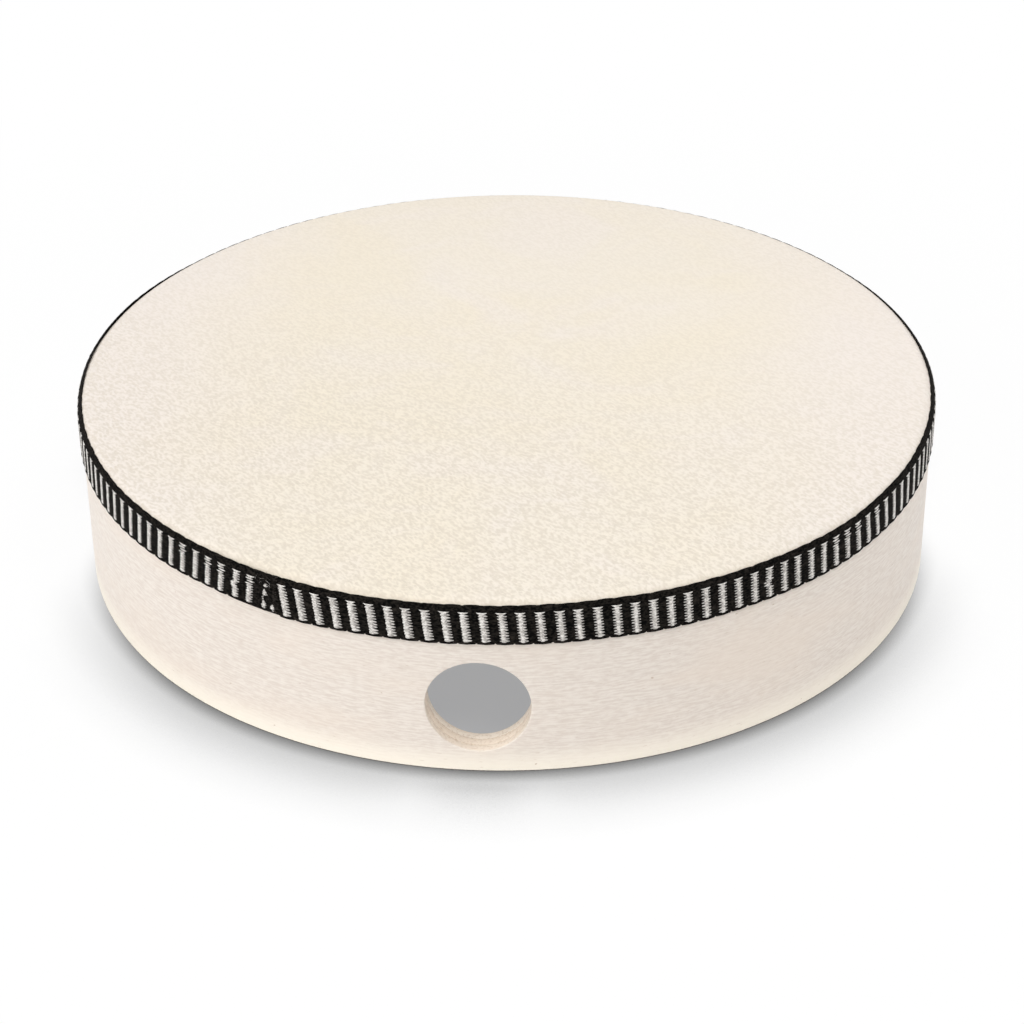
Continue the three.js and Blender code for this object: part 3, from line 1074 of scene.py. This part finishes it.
def addTapePiece(name, made, material, sharpFrom):
    addPiece(name, made[0], made[1], material, "trim_tape", sharpFrom)


addTapePiece("tape_ground", makeGround(), blackYarn, tape["groundSharp"])
whiteRows, shadedTipRows, blackRows = layFloats()
bitBody = (fray["bitDeep"], fray["bitOff"], 0.0, fray["bitTaper"])
for turn, up, half, breadth in fray["whiteBits"]:
    whiteRows.append((turn, up * mm, half * mm, breadth * mm) + bitBody)
addTapePiece("tape_white_floats", floatYarns(whiteRows), whiteYarn, tape["yarnSharp"])
addTapePiece("tape_shaded_tips", floatYarns(shadedTipRows), shadedTipYarn, tape["yarnSharp"])
addTapePiece("tape_black_floats", floatYarns(blackRows), blackYarn, tape["yarnSharp"])
strandPaths, strandGirths = layStrands()
hairPaths, hairGirths = layHairs(darkHairs)
frayGirths = np.array(strandGirths + hairGirths)
frayMade = makeYarns(np.array(strandPaths + hairPaths), frayGirths, frayGirths)
addTapePiece("tape_fray", frayMade, frayYarn, tape["yarnSharp"])
palePaths, paleGirths = [np.array(part) for part in layHairs(paleHairs)]
addTapePiece("tape_pale_fray", makeYarns(palePaths, paleGirths, paleGirths), whiteYarn, tape["yarnSharp"])
print("tape made:", len(whiteRows), "white and", len(blackRows), "black floats")

steelValues = {"Steel": tone(205, 207, 208), "Dull": tone(150, 152, 154)}
steel = makeMaterial("StapleSteel", steelGroup, steelValues, steelLook["bump"], {"Metallic": 1.0})[0]
for nodeName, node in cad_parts.items():
    if nodeName.startswith("staple_"):
        node.data.materials.clear()
        node.data.materials.append(steel)
print("staples finished")

stage = {
    "floorHalf": 4.0,
    "floorGap": 0.03 * mm,
    "floorShade": 0.93,
    "insideLight": 0.427,
    "insideShare": 0.7,
    "insideColor": (0.957, 1.0, 1.06, 1.0),
    "insideEdge": 97 * mm,
    "softReach": 25 * mm,
    "contactReach": 4.5 * mm,
    "contactDepth": 1.22,
    "shadowTurn": 5.0,
    "sideDepth": 0.06,
    "frontDepth": 1.19,
    "frontAt": 0.8,
    "holeDepth": 2.3,
    "holeHalf": 15 * mm,
    "holeFrom": 102.5 * mm,
    "holeTo": 107 * mm,
    "holeLeast": 0.25,
    "shadowGain": 1.07,
    "shadowShare": 0.94,
    "whiteFrom": 0.15,
    "whiteTo": 0.30,
    "dome": 0.36,
    "lampAim": (0, 0, 0.03),
}
white = (1, 1, 1, 1)
floorMesh = bpy.data.meshes.new("Floor")
far = stage["floorHalf"]
low = -stage["floorGap"]
floorCorners = [(-far, -far, low), (far, -far, low), (far, far, low), (-far, far, low)]
floorMesh.from_pydata(floorCorners, [], [(0, 1, 2, 3)])
floor = bpy.data.objects.new("Floor", floorMesh)
bpy.context.scene.collection.objects.link(floor)


def seenRay(tree):  # 1 where the camera sees the surface, straight or in a reflection
    rays = addNode(tree, "ShaderNodeLightPath").outputs
    shown = calc(tree, "ADD", rays["Is Camera Ray"], rays["Is Glossy Ray"])
    return calc(tree, "MINIMUM", calc(tree, "ADD", shown, rays["Is Transmission Ray"]), 1.0)


def mixShaders(tree, share, first, second):
    return addNode(tree, "ShaderNodeMixShader", {0: share, 1: first, 2: second}).outputs[0]


def nearness(tree, reach):
    return addNode(tree, "ShaderNodeAmbientOcclusion", {"Distance": reach}, samples=8).outputs["AO"]


paper = bpy.data.materials.new("FloorPaper")
paper.use_nodes = True
paperTree = paper.node_tree
paperTree.nodes.clear()
seen = seenRay(paperTree)
spot = addNode(paperTree, "ShaderNodeTexCoord").outputs["Object"]
reach = addNode(paperTree, "ShaderNodeVectorMath", {0: spot}, operation="LENGTH").outputs["Value"]
shade = stage["floorShade"]
lit = addNode(paperTree, "ShaderNodeBsdfDiffuse", {"Color": (shade, shade, shade, 1)}).outputs[0]
# painted light: for the camera the floor inside the drum glows a flat grey, seen through the thumb hole
glowValues = {"Color": stage["insideColor"], "Strength": stage["insideLight"]}
glow = addNode(paperTree, "ShaderNodeEmission", glowValues).outputs[0]
underDrum = mixShaders(paperTree, calc(paperTree, "MULTIPLY", seen, stage["insideShare"]), lit, glow)
# painted shadow: the floor's emission is darkened by nearness to the drum, deeper in front and behind than at
# the sides
shadowWay = math.radians(stage["shadowTurn"])
ahead = dot(paperTree, spot, (math.sin(shadowWay), -math.cos(shadowWay), 0))
facing = calc(paperTree, "ABSOLUTE", calc(paperTree, "DIVIDE", ahead, reach))
depth = remap(paperTree, facing, 0.0, stage["frontAt"], stage["sideDepth"], stage["frontDepth"])
spotParts = addNode(paperTree, "ShaderNodeSeparateXYZ", {0: spot}).outputs
beside = calc(paperTree, "ABSOLUTE", spotParts[0])
# deeper painted shadow in front of the thumb hole, where the nearness test sees through the hole
holeShadow = remap(paperTree, beside, 0.0, stage["holeHalf"], stage["holeDepth"] - 1, 0.0)
holeShadowReach = remap(paperTree, reach, stage["holeFrom"], stage["holeTo"], stage["holeLeast"], 1.0)
holeShadow = calc(paperTree, "MULTIPLY", holeShadow, holeShadowReach)
inFront = calc(paperTree, "LESS_THAN", spotParts[1], 0.0)
softDepth = calc(paperTree, "MULTIPLY", depth, calc(paperTree, "MULTIPLY_ADD", holeShadow, inFront, 1.0))
soft = calc(paperTree, "POWER", nearness(paperTree, stage["softReach"]), softDepth)
contactDepth = calc(paperTree, "MULTIPLY", depth, stage["contactDepth"])
contact = calc(paperTree, "POWER", nearness(paperTree, stage["contactReach"]), contactDepth)
shadowLight = calc(paperTree, "MULTIPLY", soft, contact)
shadowLight = calc(paperTree, "MULTIPLY", shadowLight, stage["shadowGain"])
shadowLight = calc(paperTree, "MINIMUM", shadowLight, 1.0)
shadow = addNode(paperTree, "ShaderNodeEmission", {"Strength": shadowLight}).outputs[0]
outside = calc(paperTree, "GREATER_THAN", reach, stage["insideEdge"])
besideDrum = mixShaders(paperTree, calc(paperTree, "MULTIPLY", seen, stage["shadowShare"]), lit, shadow)
nearDrum = mixShaders(paperTree, outside, underDrum, besideDrum)
bare = addNode(paperTree, "ShaderNodeEmission", {"Strength": 1.0}).outputs[0]
clearing = remap(paperTree, reach, stage["whiteFrom"], stage["whiteTo"])
paperMix = mixShaders(paperTree, calc(paperTree, "MULTIPLY", clearing, seen), nearDrum, bare)
# clear from below and to light inside the drum, so that the open back shows
fromBelow = addNode(paperTree, "ShaderNodeNewGeometry").outputs["Backfacing"]
inDrum = calc(paperTree, "LESS_THAN", reach, shell["radius"])
lighting = calc(paperTree, "MULTIPLY", inDrum, calc(paperTree, "SUBTRACT", 1.0, seen))
letThrough = calc(paperTree, "MAXIMUM", fromBelow, lighting)
glass = addNode(paperTree, "ShaderNodeBsdfTransparent").outputs[0]
paperSurface = mixShaders(paperTree, letThrough, paperMix, glass)
addNode(paperTree, "ShaderNodeOutputMaterial", {"Surface": paperSurface})
floorMesh.materials.append(paper)

world = bpy.data.worlds.new("Studio")
bpy.context.scene.world = world
world.use_nodes = True
worldTree = world.node_tree
worldTree.nodes.clear()
dome = addNode(worldTree, "ShaderNodeBackground", {"Color": white, "Strength": stage["dome"]}).outputs[0]
plain = addNode(worldTree, "ShaderNodeBackground", {"Color": white, "Strength": 1.0}).outputs[0]
worldMix = mixShaders(worldTree, seenRay(worldTree), dome, plain)
addNode(worldTree, "ShaderNodeOutputWorld", {"Surface": worldMix})

lamps = [
    {"name": "KeyLamp", "place": (-1.02, -0.53, 0.65), "size": 0.8, "power": 7.0},
    {"name": "TopLamp", "place": (0.25, -0.50, 1.20), "size": 0.8, "power": 8.9},
    {"name": "RimLamp", "place": (0.75, 0.55, 0.95), "size": 0.8, "power": 2.9},
]
for lamp in lamps:
    light = bpy.data.lights.new(lamp["name"], "AREA")
    light.energy = lamp["power"]
    light.size = lamp["size"]
    lampObject = bpy.data.objects.new(lamp["name"], light)
    lampObject.location = lamp["place"]
    lampObject.rotation_mode = "QUATERNION"
    beam = Vector(stage["lampAim"]) - Vector(lamp["place"])
    lampObject.rotation_quaternion = beam.to_track_quat("-Z", "Y")
    bpy.context.scene.collection.objects.link(lampObject)
print("stage and lamps set")
